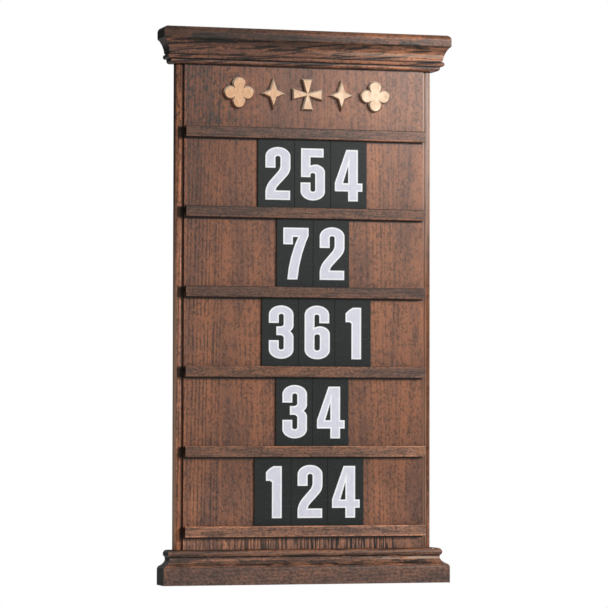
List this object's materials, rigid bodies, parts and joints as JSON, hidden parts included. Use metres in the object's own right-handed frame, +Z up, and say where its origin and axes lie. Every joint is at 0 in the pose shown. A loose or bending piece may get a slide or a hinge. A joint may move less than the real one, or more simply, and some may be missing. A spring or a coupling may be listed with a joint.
{
  "type": "hymn board",
  "caption": "Wall-hung wooden board with a moulded cornice and base, and rebated rails between which number cards stand and slide sideways.",
  "frame": {"origin": "middle of the flat back face, at mid-height, where the board lies against the wall", "axes": "+Z up, +X to the right of someone facing the board, +Y out of the back into the wall; the cards face -Y"},
  "size_m": [0.4538, 0.0444, 0.838],
  "materials": {
    "oak": "dark-stained oak, worn satin varnish",
    "card": "matt charcoal with pale printed numerals",
    "gilt": "gilded wood, satin",
    "steel": "dull plated steel"
  },
  "bodies": {
    "board": {"back_board": "oak", "cornice_front": "oak", "cornice_return_left": "oak", "cornice_return_right": "oak", "base_front": "oak", "base_return_left": "oak", "base_return_right": "oak", "header_rail": "oak", "rail_1": "oak", "rail_2": "oak", "rail_3": "oak", "rail_4": "oak", "rail_5": "oak", "quatrefoil_left": "gilt", "star_left": "gilt", "cross_centre": "gilt", "star_right": "gilt", "quatrefoil_right": "gilt", "hanger_plate_left": "steel", "hanger_plate_right": "steel", "rail_screws": "steel", "cornice_screws": "steel", "base_screws": "steel", "hanger_screws": "steel", "return_pins": "steel"},
    "row1_card_left": {"row1_card_left": "card"},
    "row1_card_middle": {"row1_card_middle": "card"},
    "row1_card_right": {"row1_card_right": "card"},
    "row2_card_left": {"row2_card_left": "card"},
    "row2_card_right": {"row2_card_right": "card"},
    "row3_card_left": {"row3_card_left": "card"},
    "row3_card_middle": {"row3_card_middle": "card"},
    "row3_card_right": {"row3_card_right": "card"},
    "row4_card_left": {"row4_card_left": "card"},
    "row4_card_right": {"row4_card_right": "card"},
    "row5_card_left": {"row5_card_left": "card"},
    "row5_card_middle": {"row5_card_middle": "card"},
    "row5_card_right": {"row5_card_right": "card"}
  },
  "joints": [
    {"name": "row1_middle_slide", "type": "slide", "parent": "board", "child": "row1_card_middle", "axis": [1, 0, 0], "range_m": [-0.05715, 0.04595]},
    {"name": "row1_left_slide", "type": "slide", "parent": "row1_card_middle", "child": "row1_card_left", "axis": [1, 0, 0], "range_m": [-0.05715, 0]},
    {"name": "row1_right_slide", "type": "slide", "parent": "row1_card_middle", "child": "row1_card_right", "axis": [1, 0, 0], "range_m": [0, 0.04595]},
    {"name": "row2_left_slide", "type": "slide", "parent": "board", "child": "row2_card_left", "axis": [1, 0, 0], "range_m": [-0.1441, 0]},
    {"name": "row2_right_slide", "type": "slide", "parent": "board", "child": "row2_card_right", "axis": [1, 0, 0], "range_m": [0, 0.1197]},
    {"name": "row3_middle_slide", "type": "slide", "parent": "board", "child": "row3_card_middle", "axis": [1, 0, 0], "range_m": [-0.06055, 0.04255]},
    {"name": "row3_left_slide", "type": "slide", "parent": "row3_card_middle", "child": "row3_card_left", "axis": [1, 0, 0], "range_m": [-0.06055, 0]},
    {"name": "row3_right_slide", "type": "slide", "parent": "row3_card_middle", "child": "row3_card_right", "axis": [1, 0, 0], "range_m": [0, 0.04255]},
    {"name": "row4_left_slide", "type": "slide", "parent": "board", "child": "row4_card_left", "axis": [1, 0, 0], "range_m": [-0.1434, 0]},
    {"name": "row4_right_slide", "type": "slide", "parent": "board", "child": "row4_card_right", "axis": [1, 0, 0], "range_m": [0, 0.1204]},
    {"name": "row5_middle_slide", "type": "slide", "parent": "board", "child": "row5_card_middle", "axis": [1, 0, 0], "range_m": [-0.05495, 0.04815]},
    {"name": "row5_left_slide", "type": "slide", "parent": "row5_card_middle", "child": "row5_card_left", "axis": [1, 0, 0], "range_m": [-0.05495, 0]},
    {"name": "row5_right_slide", "type": "slide", "parent": "row5_card_middle", "child": "row5_card_right", "axis": [1, 0, 0], "range_m": [0, 0.04815]}
  ]
}
